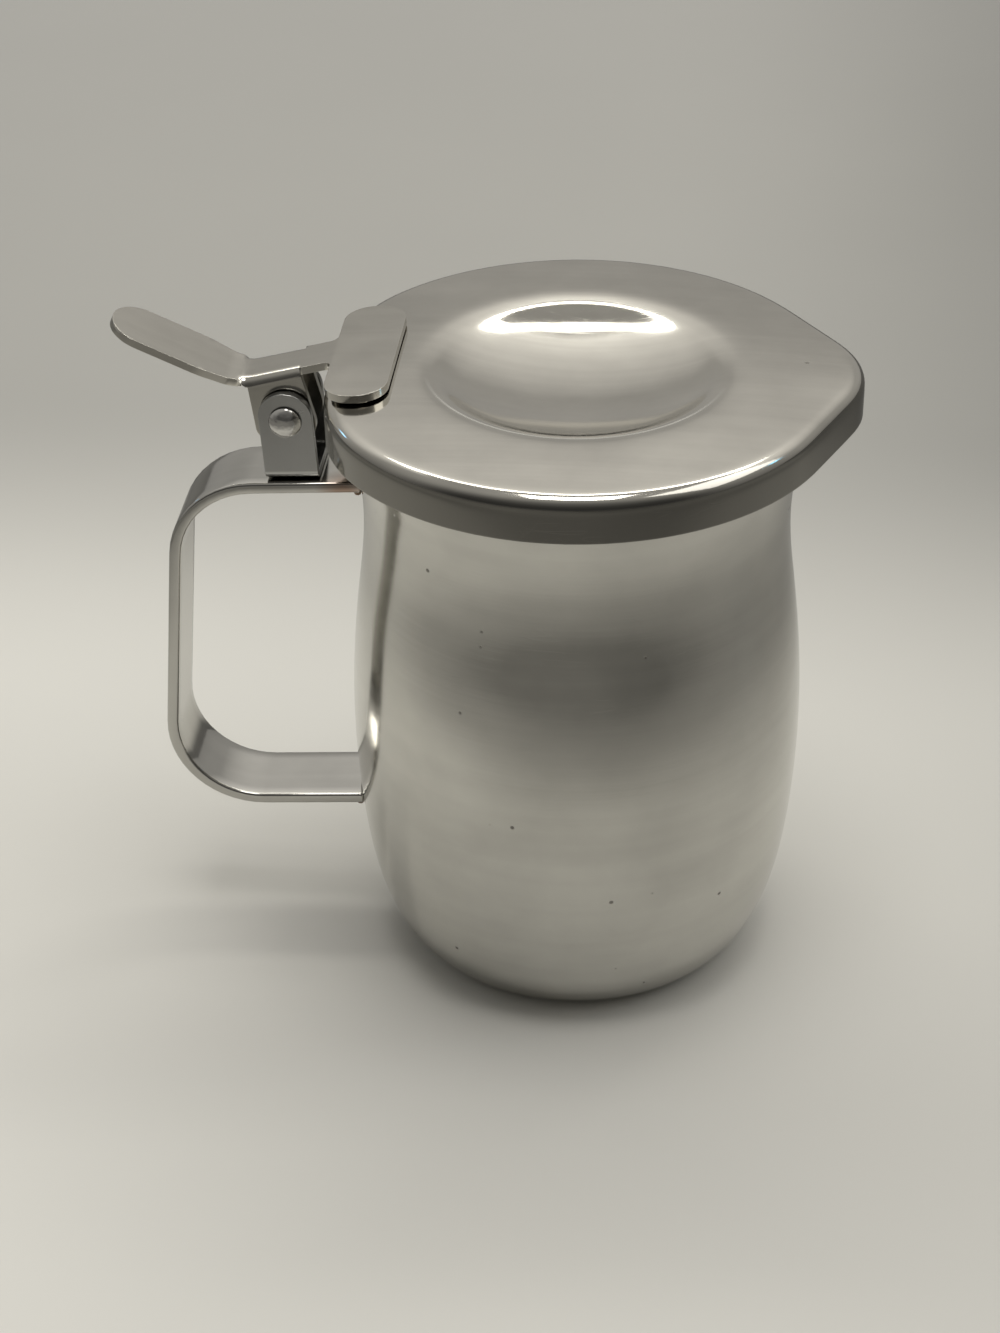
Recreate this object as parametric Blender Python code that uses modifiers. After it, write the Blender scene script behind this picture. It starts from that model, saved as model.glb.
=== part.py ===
"""Syrup dispenser: a drawn steel jug with a strap handle and a lid that is thumbed open.

Metres, +Z up. The origin is the centre of the jug's flat underside. The handle and the hinge lie
along -X, symmetric about the XZ plane. The spout points along +X, turned a little towards +Y.
"""
import math

import bmesh
import bpy
from mathutils import Matrix, Vector

MM = 0.001

# Share of a full half-round that a rounded end is given, so that its two arcs stay apart
ROUND_END_SHARE = 0.98

# Room between pieces that touch or turn on each other
CLEARANCE = 0.3 * MM
LIP_ROOM = 0.8 * MM
CUT_OVERRUN = 5.0 * MM

# Jug: one drawn shell, with the height and radius of each stage as shares of its own size.
# Above the belly its wall is drawn in or out to the mouth that the lid covers.
JUG_HEIGHT = 97.6 * MM
BELLY_RADIUS = 34.9 * MM
JUG_SHEET = 0.8 * MM
LIP_DEPTH = 11.0 * MM
SPOUT_TURN = math.radians(5.8)
LIP_CORNER_SHARE = 0.348
JUG_PROFILE_SHARES = [
    (1.000, 0.989), (0.966, 0.986), (0.932, 0.977), (0.898, 0.954), (0.860, 0.931), (0.820, 0.918),
    (0.770, 0.914), (0.710, 0.925), (0.628, 0.958), (0.528, 0.987), (0.415, 1.000), (0.301, 0.989),
    (0.201, 0.963), (0.125, 0.923), (0.076, 0.876), (0.040, 0.826), (0.017, 0.771), (0.006, 0.726),
    (0.000, 0.650), (0.000, 0.000),
]

# Lid: a pressed cap, teardrop in plan, with a flat at its back and a round dish in its crown.
# It stands out from the jug's rim by its two rooms, one all round and one at its flat back.
LID_RADIUS = 38.4 * MM
LID_ROOM = 3.88 * MM
LID_BACK_ROOM = 1.58 * MM
LID_TIP_REACH = 3.5 * MM
LID_TIP_CORNER_SHARE = 0.417
LID_BACK_CORNER_SHARE = 0.729
LID_SHEET = 0.9 * MM
LID_SKIRT = 7.0 * MM
LID_EDGE_RADIUS = 1.2 * MM
LID_CROWN = 0.8 * MM
DISH_RADIUS = 23.7 * MM
DISH_DEPTH = 4.0 * MM
DISH_PROFILE_SHARES = [
    (0.00, 1.00), (0.30, 0.97), (0.52, 0.89), (0.68, 0.75),
    (0.80, 0.52), (0.90, 0.22), (0.96, 0.05), (1.00, 0.00),
]

# Strap handle: a bent flat strip with its ends welded to the jug
STRAP_WIDTH = 12.0 * MM
STRAP_THICKNESS = 1.8 * MM
STRAP_EDGE = 0.3 * MM
STRAP_CORNER = 14.0 * MM
UPPER_ARM_DROP = 16.6 * MM
GRIP_REACH = 18.5 * MM
UPPER_ARM_SLOPE = math.radians(3.2)
LOWER_ARM_SHARE = 0.2275
LOWER_ARM_SLOPE = math.radians(3.6)
GRIP_LEAN = math.radians(5.1)
WELD_RADIUS = 0.8 * MM

# Hinge bracket: a channel on the upper arm, behind the lid, with two rounded ears
BRACKET_GAP = 1.8 * MM
BRACKET_SHEET = 1.2 * MM
BRACKET_FOLD = 1.6 * MM
EAR_WIDTH = 8.0 * MM
EAR_ABOVE_PIN = 4.5 * MM
PIN_RISE = 10.1 * MM

# Hinge pin: a rivet with a domed head on each side
PIN_RADIUS = 1.5 * MM
HEAD_RADIUS = 2.45 * MM
HEAD_HEIGHT = 1.2 * MM
DOME_SHARES = [(0.00, 1.00), (0.35, 0.95), (0.65, 0.78), (0.88, 0.50), (1.00, 0.16), (1.00, 0.00)]

# Lever: one stamping of thumb tab, stem, two folded ears and the bar welded on the lid
LEVER_SHEET = 1.2 * MM
TAB_WIDTH = 9.8 * MM
TAB_LENGTH = 20.3 * MM
TAB_TAPER = 6.0 * MM
TAB_SLOPE = math.radians(24.5)
TAB_BEND = 7.0 * MM
STEM_WIDTH = 8.1 * MM
STEM_TAIL = 1.4 * MM
STEM_SLOPE = math.radians(14.4)
STEM_BEND = 3.0 * MM
BAR_LENGTH = 28.9 * MM
BAR_WIDTH = 9.3 * MM
BAR_INSET = 0.5 * MM
BAR_CORNER = 4.4 * MM
BAR_FILLET = 1.2 * MM
LEVER_EAR_WIDTH = 8.1 * MM
LEVER_EAR_BELOW_PIN = 4.6 * MM
LEVER_EAR_CORNER = 3.4 * MM
FOLD_INSET = 0.1 * MM

# How finely round shapes are divided
TURN_STEPS = 72
PIN_STEPS = 24
HOLE_STEPS = 24
ARC_STEP = math.radians(15.0)
WELD_POINTS = 9
EDGE_STEPS = 3
MERGE = 0.0001 * MM

# Sizes and places that follow from the ones above
RIM_RADIUS = LID_RADIUS - LID_ROOM
LID_TIP = LID_RADIUS + LID_TIP_REACH
LID_TIP_CORNER = LID_RADIUS * LID_TIP_CORNER_SHARE
LID_BACK = RIM_RADIUS + LID_BACK_ROOM
LID_BACK_CORNER = LID_RADIUS * LID_BACK_CORNER_SHARE
LID_TOP = JUG_HEIGHT + CLEARANCE + LID_SHEET
LID_BOTTOM = LID_TOP - LID_SKIRT
LIP_TIP = LID_TIP - LID_SHEET - LIP_ROOM
LIP_CORNER = RIM_RADIUS * LIP_CORNER_SHARE
BRACKET_REACH = LID_BACK + BRACKET_GAP + EAR_WIDTH / 2
UPPER_ARM_HEIGHT = JUG_HEIGHT - UPPER_ARM_DROP
UPPER_ARM_REACH = BRACKET_REACH + GRIP_REACH
LOWER_ARM_HEIGHT = JUG_HEIGHT * LOWER_ARM_SHARE


def upper_arm_top(x):
    """Height of the upper arm's outer face where it is straight."""
    return UPPER_ARM_HEIGHT + math.tan(UPPER_ARM_SLOPE) * (x + BRACKET_REACH)


PIN_PLACE = Vector((
    -BRACKET_REACH - math.sin(UPPER_ARM_SLOPE) * PIN_RISE,
    0,
    upper_arm_top(-BRACKET_REACH) + math.cos(UPPER_ARM_SLOPE) * PIN_RISE,
))


# Along the stem towards the lid, and square to it downwards, in the XZ plane
STEM_ALONG = Vector((math.cos(STEM_SLOPE), math.sin(STEM_SLOPE)))
STEM_DOWN = Vector((math.sin(STEM_SLOPE), -math.cos(STEM_SLOPE)))


def clear_scene():
    for thing in list(bpy.data.objects):
        bpy.data.objects.remove(thing, do_unlink=True)


def new_collection(name):
    collection = bpy.data.collections.new(name)
    bpy.context.scene.collection.children.link(collection)
    return collection


def steel(name, colour, roughness):
    material = bpy.data.materials.new(name)
    material.use_nodes = True
    shader = material.node_tree.nodes["Principled BSDF"]
    shader.inputs["Base Color"].default_value = (*colour, 1.0)
    shader.inputs["Roughness"].default_value = roughness
    shader.inputs["Metallic"].default_value = 1.0
    return material


def new_object(name, mesh, collection):
    thing = bpy.data.objects.new(name, mesh)
    collection.objects.link(thing)
    return thing


def mesh_object(name, points, edges, faces, collection):
    mesh = bpy.data.meshes.new(name)
    mesh.from_pydata(points, edges, faces)
    return new_object(name, mesh, collection)


def as_mesh(thing):
    """The evaluated shape of an object as a plain mesh object with the same name and place."""
    bpy.context.view_layer.update()
    graph = bpy.context.evaluated_depsgraph_get()
    mesh = bpy.data.meshes.new_from_object(thing.evaluated_get(graph), depsgraph=graph)
    work = bmesh.new()
    work.from_mesh(mesh)
    bmesh.ops.remove_doubles(work, verts=work.verts, dist=MERGE)
    work.to_mesh(mesh)
    work.free()
    name = thing.name
    collection = thing.users_collection[0]
    place = thing.matrix_world.copy()
    bpy.data.objects.remove(thing, do_unlink=True)
    result = new_object(name, mesh, collection)
    result.matrix_world = place
    return result


def rounded_path(corners, radii, closed=False):
    """A line through the corners, each one replaced by an arc of its radius."""
    corners = [Vector(corner) for corner in corners]
    count = len(corners)
    path = []
    for index, (corner, radius) in enumerate(zip(corners, radii)):
        at_end = not closed and index in (0, count - 1)
        if at_end or radius <= 0:
            path.append(corner)
            continue
        back = (corners[index - 1] - corner).normalized()
        ahead = (corners[(index + 1) % count] - corner).normalized()
        half = back.angle(ahead) / 2
        centre = corner + (back + ahead).normalized() * (radius / math.sin(half))
        start = corner + back * (radius / math.tan(half)) - centre
        sweep = math.pi - 2 * half
        turn = math.copysign(sweep, back.y * ahead.x - back.x * ahead.y)
        steps = max(2, math.ceil(sweep / ARC_STEP))
        for step in range(steps + 1):
            path.append(centre + Matrix.Rotation(turn * step / steps, 2) @ start)
    return path


def turned(name, profile, steps, collection):
    """A profile of (radius, height) points, listed down its outer side, turned about Z."""
    points = [(radius, 0, height) for radius, height in profile]
    edges = [(index, index + 1) for index in range(len(points) - 1)]
    thing = mesh_object(name, points, edges, [], collection)
    screw = thing.modifiers.new("Turn", "SCREW")
    screw.steps = steps
    screw.render_steps = steps
    screw.use_merge_vertices = True
    screw.merge_threshold = MERGE
    screw.use_smooth_shade = True
    return as_mesh(thing)


def flat_outline(name, outline, thickness, collection):
    """A closed outline in the XY plane, thickened evenly to both sides of it."""
    curve = bpy.data.curves.new(name, "CURVE")
    curve.dimensions = "2D"
    curve.fill_mode = "BOTH"
    curve.extrude = thickness / 2
    spline = curve.splines.new("POLY")
    spline.points.add(len(outline) - 1)
    for point, place in zip(spline.points, outline):
        point.co = (place[0], place[1], 0, 1)
    spline.use_cyclic_u = True
    return as_mesh(new_object(name, curve, collection))


def thicken(thing, thickness, offset):
    solid = thing.modifiers.new("Sheet", "SOLIDIFY")
    solid.thickness = thickness
    solid.offset = offset
    solid.use_even_offset = True


def cut(thing, cutter, operation="DIFFERENCE"):
    step = thing.modifiers.new(cutter.name, "BOOLEAN")
    step.operation = operation
    step.object = cutter
    step.solver = "EXACT"


def round_cutter(name, radius, length, place):
    """A round bar along Y that cuts a hole."""
    work = bmesh.new()
    bmesh.ops.create_cone(
        work, cap_ends=True, segments=HOLE_STEPS, radius1=radius, radius2=radius, depth=length)
    bmesh.ops.rotate(work, verts=work.verts, matrix=Matrix.Rotation(math.pi / 2, 3, "X"))
    mesh = bpy.data.meshes.new(name)
    work.to_mesh(mesh)
    work.free()
    cutter = new_object(name, mesh, CUTTERS)
    cutter.location = place
    return hide_cutter(cutter)


def block_cutter(name, reach, height):
    """A square block that takes off what stands above a height, as far as it reaches from the centre."""
    work = bmesh.new()
    bmesh.ops.create_cube(work, size=2 * reach)
    mesh = bpy.data.meshes.new(name)
    work.to_mesh(mesh)
    work.free()
    cutter = new_object(name, mesh, CUTTERS)
    cutter.location.z = height + reach
    return hide_cutter(cutter)


def hide_cutter(cutter):
    cutter.hide_render = True
    cutter.display_type = "WIRE"
    return cutter


def finish(thing, material, sharp=math.radians(35.0)):
    thing.data.materials.clear()
    thing.data.materials.append(material)
    thing.data.shade_smooth()
    thing.data.set_sharp_from_angle(angle=sharp)
    return thing


def move_origin(thing, place):
    """Puts an object's origin at a place, such as its joint's axis, and leaves its shape where it is."""
    bpy.context.view_layer.update()
    thing.data.transform(Matrix.Translation(-place) @ thing.matrix_world)
    thing.matrix_world = Matrix.Translation(place)


def smooth_step(share):
    share = min(1.0, max(0.0, share))
    return share * share * (3 - 2 * share)


def pointed_circle(angle, radius, tip, corner):
    """Distance from the centre to the edge of a circle that is drawn out to a rounded tip at the spout."""
    angle = abs(math.remainder(angle - SPOUT_TURN, math.tau))
    centre = tip - corner
    flank = math.acos((radius - corner) / centre)
    if angle >= flank:
        return radius
    if angle >= math.atan2(corner * math.sin(flank), centre + corner * math.cos(flank)):
        return radius / math.cos(flank - angle)
    return centre * math.cos(angle) + math.sqrt(corner ** 2 - (centre * math.sin(angle)) ** 2)


def lid_outline(angle, inset):
    """Distance from the centre to the lid's edge, or to a line that lies evenly inside it."""
    front = pointed_circle(angle, LID_RADIUS - inset, LID_TIP - inset, LID_TIP_CORNER - inset)
    from_back = math.pi - abs(angle)
    along = LID_BACK - LID_BACK_CORNER
    across = math.sqrt((LID_RADIUS - LID_BACK_CORNER) ** 2 - along ** 2)
    if from_back > math.atan2(across, along):
        return front
    if from_back < math.atan2(across, LID_BACK - inset):
        return (LID_BACK - inset) / math.cos(from_back)
    reach = along * math.cos(from_back) + across * math.sin(from_back)
    corner = LID_BACK_CORNER - inset
    return reach + math.sqrt(reach ** 2 - along ** 2 - across ** 2 + corner ** 2)


def jug_profile(grow=0.0):
    """Radius and height of each stage, widened towards the rim to the radius of the mouth."""
    belly_height = max(JUG_PROFILE_SHARES, key=lambda stage: stage[1])[0]
    mouth = RIM_RADIUS - BELLY_RADIUS * JUG_PROFILE_SHARES[0][1]
    profile = []
    for height, share in JUG_PROFILE_SHARES:
        drawn = mouth * smooth_step((height - belly_height) / (1 - belly_height))
        profile.append((share * BELLY_RADIUS + drawn + grow, height * JUG_HEIGHT))
    return profile


def jug_radius(height):
    """Outside radius of the turned jug at a height."""
    profile = jug_profile()
    for (upper_radius, upper), (lower_radius, lower) in zip(profile, profile[1:]):
        if lower <= height <= upper:
            along = (height - lower) / (upper - lower)
            return lower_radius + (upper_radius - lower_radius) * along
    return profile[0][0]


def make_jug():
    """The turned shell, with its rim drawn out to a lip on the +X side."""
    jug = turned("jug", jug_profile(), TURN_STEPS, PARTS)
    for vertex in jug.data.vertices:
        radius = math.hypot(vertex.co.x, vertex.co.y)
        pull = smooth_step((vertex.co.z - JUG_HEIGHT + LIP_DEPTH) / LIP_DEPTH)
        if pull <= 0 or radius <= 0:
            continue
        angle = math.atan2(vertex.co.y, vertex.co.x)
        lip = pointed_circle(angle, RIM_RADIUS, LIP_TIP, LIP_CORNER) - RIM_RADIUS
        vertex.co.x *= 1 + pull * lip / radius
        vertex.co.y *= 1 + pull * lip / radius
    thicken(jug, JUG_SHEET, -1)
    cut(jug, block_cutter("rim_trim", LID_RADIUS + CUT_OVERRUN, JUG_HEIGHT))
    return finish(jug, steel("jug_steel", (0.62, 0.61, 0.58), 0.22))


def make_lid():
    """The dish, crown, rounded edge and skirt are turned, then stretched to the teardrop outline."""
    crest = LID_TOP + LID_CROWN
    flat_radius = LID_RADIUS - LID_EDGE_RADIUS
    profile = [(DISH_RADIUS * out, crest - DISH_DEPTH * down) for out, down in DISH_PROFILE_SHARES]
    profile.append(((DISH_RADIUS + flat_radius) / 2, LID_TOP + LID_CROWN / 2))
    for step in range(EDGE_STEPS + 1):
        turn = math.pi / 2 * step / EDGE_STEPS
        out = flat_radius + LID_EDGE_RADIUS * math.sin(turn)
        profile.append((out, LID_TOP - LID_EDGE_RADIUS * (1 - math.cos(turn))))
    profile.append((LID_RADIUS, LID_BOTTOM))
    lid = turned("lid", profile, TURN_STEPS, PARTS)
    for vertex in lid.data.vertices:
        radius = math.hypot(vertex.co.x, vertex.co.y)
        if radius <= DISH_RADIUS:
            continue
        angle = math.atan2(vertex.co.y, vertex.co.x)
        if radius >= flat_radius:
            wanted = lid_outline(angle, max(0.0, LID_RADIUS - radius))
        else:
            share = (radius - DISH_RADIUS) / (flat_radius - DISH_RADIUS)
            wanted = DISH_RADIUS + share * (lid_outline(angle, LID_EDGE_RADIUS) - DISH_RADIUS)
        vertex.co.x *= wanted / radius
        vertex.co.y *= wanted / radius
    move_origin(lid, PIN_PLACE)
    thicken(lid, LID_SHEET, -1)
    return finish(lid, steel("lid_steel", (0.60, 0.58, 0.54), 0.33))


def crossing(point_a, slope_a, point_b, slope_b):
    """Where two lines in the XZ plane meet, each given by a point and its rise per run."""
    x = (point_b[1] - point_a[1] + slope_a * point_a[0] - slope_b * point_b[0]) / (slope_a - slope_b)
    return (x, point_a[1] + slope_a * (x - point_a[0]))


def lower_arm_bottom(x):
    return LOWER_ARM_HEIGHT + math.tan(LOWER_ARM_SLOPE) * (x + BRACKET_REACH)


def make_handle():
    """The strip's outer line, given its width along Y and its thickness inwards, then cut to the jug."""
    upper_slope = math.tan(UPPER_ARM_SLOPE)
    lower_slope = math.tan(LOWER_ARM_SLOPE)
    grip_slope = 1 / math.tan(GRIP_LEAN)
    grip_top = (-UPPER_ARM_REACH, UPPER_ARM_HEIGHT)
    inside = -BELLY_RADIUS / 2
    corners = [
        (inside, upper_arm_top(inside)),
        crossing((-BRACKET_REACH, UPPER_ARM_HEIGHT), upper_slope, grip_top, grip_slope),
        crossing((-BRACKET_REACH, LOWER_ARM_HEIGHT), lower_slope, grip_top, grip_slope),
        (inside, lower_arm_bottom(inside)),
    ]
    path = rounded_path(corners, [0, STRAP_CORNER, STRAP_CORNER, 0])
    points = []
    for x, z in path:
        points.append((x, -STRAP_WIDTH / 2, z))
        points.append((x, STRAP_WIDTH / 2, z))
    faces = [(2 * row, 2 * row + 1, 2 * row + 3, 2 * row + 2) for row in range(len(path) - 1)]
    handle = mesh_object("handle", points, [], faces, PARTS)
    thicken(handle, STRAP_THICKNESS, -1)
    edge = handle.modifiers.new("Edges", "BEVEL")
    edge.width = STRAP_EDGE
    edge.segments = 1
    edge.limit_method = "ANGLE"
    edge.angle_limit = math.radians(60.0)
    profile = jug_profile(CLEARANCE)
    profile[-1] = (0, 0)
    cutter = turned("jug_room", [(0, JUG_HEIGHT), *profile], TURN_STEPS, CUTTERS)
    cut(handle, hide_cutter(cutter))
    return finish(handle, steel("handle_steel", (0.63, 0.62, 0.59), 0.24))


def make_weld(name, arm_underside):
    """A bead of weld metal in the corner between the strap's underside and the jug."""
    half = STRAP_WIDTH / 2 - WELD_RADIUS
    curve = bpy.data.curves.new(name, "CURVE")
    curve.dimensions = "3D"
    curve.bevel_depth = WELD_RADIUS
    curve.bevel_resolution = 2
    curve.use_fill_caps = True
    spline = curve.splines.new("POLY")
    spline.points.add(WELD_POINTS - 1)
    drop = WELD_RADIUS + CLEARANCE
    for index, point in enumerate(spline.points):
        y = half * (2 * index / (WELD_POINTS - 1) - 1)
        z = arm_underside(-BELLY_RADIUS) - drop
        reach = max(jug_radius(z + WELD_RADIUS), jug_radius(z - WELD_RADIUS)) + drop
        x = -math.sqrt(reach ** 2 - y ** 2)
        point.co = (x, y, arm_underside(x) - drop, 1)
    bead = as_mesh(new_object(name, curve, PARTS))
    return finish(bead, steel(name + "_metal", (0.42, 0.38, 0.33), 0.45))


def make_bracket():
    """A channel, folded from sheet, trimmed to the side view of its ears and bored for the pin."""
    inner = STEM_WIDTH / 2 + CLEARANCE
    outer = inner + BRACKET_SHEET
    floor = CLEARANCE
    top = PIN_RISE + EAR_ABOVE_PIN
    corners = [(outer, top + CUT_OVERRUN), (outer, floor), (-outer, floor), (-outer, top + CUT_OVERRUN)]
    section = rounded_path(corners, [0, BRACKET_FOLD, BRACKET_FOLD, 0])
    half = EAR_WIDTH / 2 + CUT_OVERRUN
    points = []
    for y, z in section:
        points.append((-half, y, z))
        points.append((half, y, z))
    faces = [(2 * row, 2 * row + 1, 2 * row + 3, 2 * row + 2) for row in range(len(section) - 1)]
    bracket = mesh_object("hinge_bracket", points, [], faces, PARTS)
    thicken(bracket, BRACKET_SHEET, -1)
    ear = EAR_WIDTH / 2
    side_view = rounded_path(
        [(-ear, -CUT_OVERRUN), (ear, -CUT_OVERRUN), (ear, top), (-ear, top)],
        [0, 0, ear * ROUND_END_SHARE, ear * ROUND_END_SHARE], closed=True)
    trim = flat_outline("bracket_side_view", side_view, 2 * (outer + CUT_OVERRUN), CUTTERS)
    trim.rotation_euler.x = math.pi / 2
    cut(bracket, hide_cutter(trim), "INTERSECT")
    seat = Matrix.Translation((-BRACKET_REACH, 0, UPPER_ARM_HEIGHT))
    seat = seat @ Matrix.Rotation(-UPPER_ARM_SLOPE, 4, "Y")
    bracket.matrix_world = seat
    trim.matrix_world = seat @ Matrix.Rotation(math.pi / 2, 4, "X")
    bore = round_cutter("bracket_bore", PIN_RADIUS + CLEARANCE, 2 * (outer + CUT_OVERRUN), PIN_PLACE)
    cut(bracket, bore)
    return finish(bracket, steel("bracket_steel", (0.50, 0.50, 0.49), 0.30))


def make_pin():
    """The shank between two domed heads, turned about Z and then laid along Y."""
    seat = STEM_WIDTH / 2 + CLEARANCE + BRACKET_SHEET + CLEARANCE
    head = [(HEAD_RADIUS * out, seat + HEAD_HEIGHT * up) for out, up in DOME_SHARES]
    upper = head + [(PIN_RADIUS, seat)]
    lower = [(radius, -height) for radius, height in reversed(upper)]
    pin = turned("hinge_pin", upper + lower, PIN_STEPS, PARTS)
    pin.rotation_euler.x = math.pi / 2
    pin.location = PIN_PLACE
    return finish(pin, steel("pin_steel", (0.58, 0.57, 0.55), 0.20))


def bar_seat():
    """Where the lever's upper face leaves the lid's back edge, and the rise per run of the lid there."""
    back = LID_BACK - LID_EDGE_RADIUS
    rise = LID_CROWN / (back - DISH_RADIUS)
    lift = (CLEARANCE + LEVER_SHEET) * math.hypot(1, rise)
    seat = LID_BACK - BAR_INSET
    return Vector((-seat, LID_TOP + lift - rise * (seat - back))), rise


def pin_from_seat():
    """How far the pin lies along the stem from the seat, and how far below the stem's upper face."""
    to_pin = Vector((PIN_PLACE.x, PIN_PLACE.z)) - bar_seat()[0]
    return to_pin.dot(STEM_ALONG), to_pin.dot(STEM_DOWN)


def lever_path():
    """Side view of the lever's upper face, from the tip of the tab to the front of the bar."""
    start, rise = bar_seat()
    stem = start + STEM_ALONG * (pin_from_seat()[0] - LEVER_EAR_WIDTH / 2 - STEM_TAIL)
    tip = stem + Vector((-math.cos(TAB_SLOPE), math.sin(TAB_SLOPE))) * TAB_LENGTH
    front = start + Vector((1, rise)).normalized() * BAR_WIDTH
    return rounded_path([tip, stem, start, front], [0, TAB_BEND, STEM_BEND, 0])


def lever_outline(length):
    """Flat pattern of the lever from above, with its length along X and the tip of the tab at zero."""
    tab = TAB_WIDTH / 2
    stem = STEM_WIDTH / 2
    bar = BAR_LENGTH / 2
    narrow = TAB_LENGTH - TAB_BEND / 2
    bar_start = length - BAR_WIDTH
    side = [
        (0, -tab, tab * ROUND_END_SHARE), (narrow - TAB_TAPER, -tab, TAB_BEND), (narrow, -stem, TAB_BEND),
        (bar_start, -stem, BAR_FILLET), (bar_start, -bar, BAR_CORNER), (length, -bar, BAR_CORNER),
    ]
    other = [(x, -y, radius) for x, y, radius in reversed(side)]
    corners = [(x, y) for x, y, radius in side + other]
    return rounded_path(corners, [radius for x, y, radius in side + other], closed=True)


def bend_along(mesh, path):
    """Bends a flat pattern, whose top face is at zero height, along a side view in the XZ plane."""
    lengths = [0.0]
    for before, after in zip(path, path[1:]):
        lengths.append(lengths[-1] + (after - before).length)
    normals = [Vector((before.y - after.y, after.x - before.x)).normalized()
               for before, after in zip(path, path[1:])]
    offsets = [normals[0]]
    for before, after in zip(normals, normals[1:]):
        middle = (before + after).normalized()
        offsets.append(middle / middle.dot(after))
    offsets.append(normals[-1])
    work = bmesh.new()
    work.from_mesh(mesh)
    for length in lengths[1:-1]:
        bmesh.ops.bisect_plane(
            work, geom=[*work.verts, *work.edges, *work.faces], dist=MERGE,
            plane_co=(length, 0, 0), plane_no=(1, 0, 0))
    for vertex in work.verts:
        place = vertex.co.x
        row = 0
        while row < len(path) - 2 and place > lengths[row + 1]:
            row += 1
        share = (place - lengths[row]) / (lengths[row + 1] - lengths[row])
        start = path[row] + offsets[row] * vertex.co.z
        end = path[row + 1] + offsets[row + 1] * vertex.co.z
        bent = start + (end - start) * share
        vertex.co.x = bent.x
        vertex.co.z = bent.y
    work.to_mesh(mesh)
    work.free()


def lever_ear(name, side):
    """One ear, folded down from the stem at right angles to it, round the pin at its foot."""
    start = bar_seat()[0]
    centre, depth = pin_from_seat()
    foot = depth + LEVER_EAR_BELOW_PIN
    half = LEVER_EAR_WIDTH / 2
    head = LEVER_SHEET / 2
    local = rounded_path(
        [(centre - half, head), (centre + half, head), (centre + half, foot), (centre - half, foot)],
        [0, 0, LEVER_EAR_CORNER, LEVER_EAR_CORNER], closed=True)
    outline = [start + STEM_ALONG * u + STEM_DOWN * v for u, v in local]
    ear = flat_outline(name, outline, LEVER_SHEET, CUTTERS)
    ear.rotation_euler.x = math.pi / 2
    ear.location.y = side * (STEM_WIDTH / 2 - FOLD_INSET - LEVER_SHEET / 2)
    return hide_cutter(ear)


def make_lever():
    """The flat pattern is bent to its side view, joined to its two ears and bored for the pin."""
    path = lever_path()
    length = sum((after - before).length for before, after in zip(path, path[1:]))
    lever = flat_outline("lever", lever_outline(length), LEVER_SHEET, PARTS)
    lever.data.transform(Matrix.Translation((0, 0, -LEVER_SHEET / 2)))
    bend_along(lever.data, path)
    move_origin(lever, PIN_PLACE)
    for name, side in (("lever_ear_near", -1), ("lever_ear_far", 1)):
        cut(lever, lever_ear(name, side), "UNION")
    cut(lever, round_cutter("lever_bore", PIN_RADIUS + CLEARANCE, STEM_WIDTH + CUT_OVERRUN, PIN_PLACE))
    return finish(lever, steel("lever_steel", (0.60, 0.58, 0.54), 0.30))


clear_scene()
PARTS = new_collection("syrup_dispenser")
CUTTERS = new_collection("cutters")
make_jug()
make_handle()
make_weld("upper_weld", lambda x: upper_arm_top(x) - STRAP_THICKNESS)
make_weld("lower_weld", lower_arm_bottom)
make_bracket()
make_pin()
make_lid()
make_lever()
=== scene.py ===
# %% [markdown]
# The dispenser is a small jug of drawn steel with a strap handle and a lid that is thumbed open.
# The solid model comes in first. It fixes every size and place, so each piece that is
# modelled below stands exactly where its plain solid stands.

# %% Load the solid model
import math

import bpy
from mathutils import Matrix, Vector


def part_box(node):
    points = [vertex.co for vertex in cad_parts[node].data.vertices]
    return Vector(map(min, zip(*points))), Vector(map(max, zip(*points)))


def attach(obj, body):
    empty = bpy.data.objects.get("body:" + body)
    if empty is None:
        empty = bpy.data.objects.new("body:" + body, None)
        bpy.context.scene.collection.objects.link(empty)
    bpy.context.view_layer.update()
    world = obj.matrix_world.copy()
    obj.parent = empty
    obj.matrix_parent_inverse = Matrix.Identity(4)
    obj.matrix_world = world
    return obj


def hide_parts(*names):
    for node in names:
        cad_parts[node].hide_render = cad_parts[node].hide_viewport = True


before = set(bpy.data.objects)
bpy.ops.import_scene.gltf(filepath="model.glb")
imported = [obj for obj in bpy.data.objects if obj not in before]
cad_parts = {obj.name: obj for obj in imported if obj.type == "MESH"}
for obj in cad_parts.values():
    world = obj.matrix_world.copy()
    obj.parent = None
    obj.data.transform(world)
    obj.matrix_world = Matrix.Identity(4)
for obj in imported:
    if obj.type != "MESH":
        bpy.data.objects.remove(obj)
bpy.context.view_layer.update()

MM = 0.001

# %% [markdown]
# A photograph's camera is found from the object: how far off it stood, how high, and how much
# it was tilted. A long lens from a short way off keeps the pot's sides nearly parallel. The
# camera looks at a point inside the jug, a little towards the handle.

# %% Camera
CAMERA_AIM = Vector((-11.9, -0.52, 46.46)) * MM
CAMERA_DISTANCE = 433 * MM
CAMERA_TURN = math.radians(6.2)
CAMERA_HEIGHT_ANGLE = math.radians(33.5)
CAMERA_TILT = math.radians(-0.89)
CAMERA_LENS = 75
CLIP_START = 10 * MM

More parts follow.
